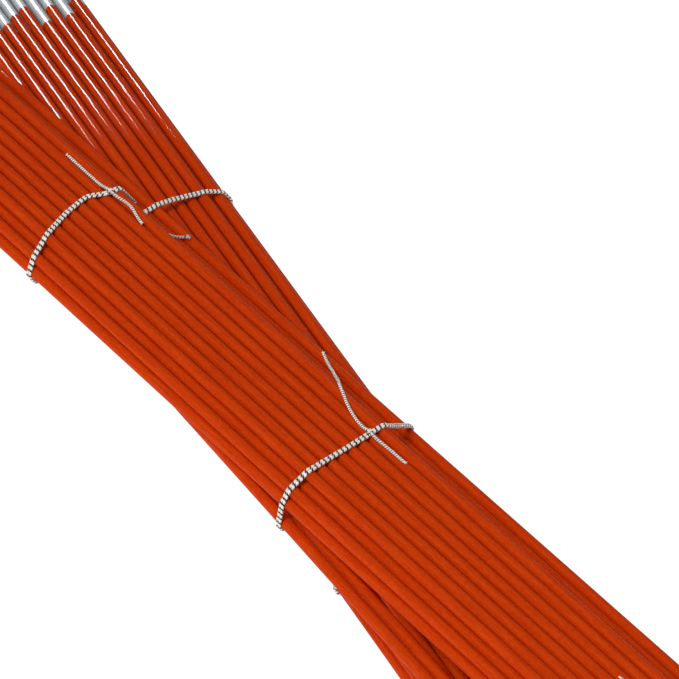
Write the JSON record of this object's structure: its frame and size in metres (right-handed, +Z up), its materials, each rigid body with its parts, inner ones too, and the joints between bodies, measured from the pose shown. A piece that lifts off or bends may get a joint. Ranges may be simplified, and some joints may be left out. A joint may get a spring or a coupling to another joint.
{
  "type": "driveway snow marker",
  "caption": "Orange-red fibreglass driveway snow markers with reflective sleeves, tied with braided cord in bundles that lie across each other.",
  "frame": {"origin": "on the surface that the lower bundle's ties rest on, under the middle of the whole pack", "axes": "+X along the pack toward the driving tips, +Z up"},
  "size_m": [1.3061, 0.2428, 0.0842],
  "materials": {
    "fibreglass": "satin orange-red glass-fibre rod",
    "reflective_sleeve": "silver reflective film",
    "tie_cord": "braided, with dark flecks",
    "worn_cord": "braided, dirty grey"
  },
  "bodies": {
    "pack": {"lower_rods_row_1": "fibreglass", "lower_rods_row_2": "fibreglass", "lower_rods_row_3": "fibreglass", "lower_rods_row_4": "fibreglass", "lower_rods_row_5": "fibreglass", "lower_sleeves": "reflective_sleeve", "upper_rods_row_1": "fibreglass", "upper_rods_row_2": "fibreglass", "upper_rods_row_3": "fibreglass", "upper_rods_row_4": "fibreglass", "upper_rods_row_5": "fibreglass", "upper_sleeves": "reflective_sleeve", "upper_tie_1": "tie_cord", "upper_tie_2": "tie_cord", "upper_tie_3": "tie_cord", "lower_tie_1": "tie_cord", "lower_tie_2": "tie_cord", "lower_tie_3": "tie_cord", "upper_tie_1_tail_a": "tie_cord", "upper_tie_1_tail_b": "tie_cord", "upper_tie_2_tail_a": "tie_cord", "upper_tie_2_tail_b": "tie_cord", "upper_tie_3_tail_a": "tie_cord", "upper_tie_3_tail_b": "tie_cord", "lower_tie_1_tail_a": "worn_cord", "lower_tie_1_tail_b": "tie_cord", "lower_tie_1_end_knot": "worn_cord", "lower_tie_2_tail_a": "tie_cord", "lower_tie_2_tail_b": "tie_cord", "lower_tie_3_tail_a": "tie_cord", "lower_tie_3_tail_b": "tie_cord"},
    "stray_near": {"stray_near_rod": "fibreglass", "stray_near_sleeve": "reflective_sleeve"},
    "stray_far": {"stray_far_rod": "fibreglass", "stray_far_sleeve": "reflective_sleeve"},
    "splayed_near": {"splayed_near_rod": "fibreglass", "splayed_near_sleeve": "reflective_sleeve"},
    "splayed_far": {"splayed_far_rod": "fibreglass", "splayed_far_sleeve": "reflective_sleeve"},
    "upper_top_1": {"upper_top_1_rod": "fibreglass", "upper_top_1_sleeve": "reflective_sleeve"},
    "upper_top_2": {"upper_top_2_rod": "fibreglass", "upper_top_2_sleeve": "reflective_sleeve"},
    "upper_top_3": {"upper_top_3_rod": "fibreglass", "upper_top_3_sleeve": "reflective_sleeve"},
    "lower_top_1": {"lower_top_1_rod": "fibreglass", "lower_top_1_sleeve": "reflective_sleeve"},
    "lower_top_2": {"lower_top_2_rod": "fibreglass", "lower_top_2_sleeve": "reflective_sleeve"},
    "lower_top_3": {"lower_top_3_rod": "fibreglass", "lower_top_3_sleeve": "reflective_sleeve"},
    "lower_side_1": {"lower_side_1_rod": "fibreglass", "lower_side_1_sleeve": "reflective_sleeve"},
    "lower_side_2": {"lower_side_2_rod": "fibreglass", "lower_side_2_sleeve": "reflective_sleeve"}
  },
  "joints": [
    {"name": "stray_near_draw", "type": "slide", "parent": "pack", "child": "stray_near", "axis": [-0.9957, -0.0924, 0], "range_m": [0, 0.9]},
    {"name": "stray_far_draw", "type": "slide", "parent": "pack", "child": "stray_far", "axis": [-0.9957, -0.0922, 0], "range_m": [0, 0.9]},
    {"name": "splayed_near_draw", "type": "slide", "parent": "pack", "child": "splayed_near", "axis": [-0.9999, -0.0107, 0], "range_m": [0, 0.45]},
    {"name": "splayed_far_draw", "type": "slide", "parent": "pack", "child": "splayed_far", "axis": [-0.9999, -0.0102, 0], "range_m": [0, 0.45]},
    {"name": "upper_top_1_draw", "type": "slide", "parent": "pack", "child": "upper_top_1", "axis": [-0.9955, -0.0948, 0], "range_m": [0, 0.9]},
    {"name": "upper_top_2_draw", "type": "slide", "parent": "pack", "child": "upper_top_2", "axis": [-0.9958, -0.0918, 0], "range_m": [0, 0.9]},
    {"name": "upper_top_3_draw", "type": "slide", "parent": "pack", "child": "upper_top_3", "axis": [-0.996, -0.0898, 0], "range_m": [0, 0.9]},
    {"name": "lower_top_1_draw", "type": "slide", "parent": "pack", "child": "lower_top_1", "axis": [-0.9958, 0.0913, 0], "range_m": [0, 0.85]},
    {"name": "lower_top_2_draw", "type": "slide", "parent": "pack", "child": "lower_top_2", "axis": [-0.9956, 0.0934, 0], "range_m": [0, 0.85]},
    {"name": "lower_top_3_draw", "type": "slide", "parent": "pack", "child": "lower_top_3", "axis": [-0.9954, 0.0954, 0], "range_m": [0, 0.85]},
    {"name": "lower_side_1_draw", "type": "slide", "parent": "pack", "child": "lower_side_1", "axis": [-0.9953, 0.0968, 0], "range_m": [0, 0.85]},
    {"name": "lower_side_2_draw", "type": "slide", "parent": "pack", "child": "lower_side_2", "axis": [-0.9952, 0.0974, 0], "range_m": [0, 0.85]}
  ]
}
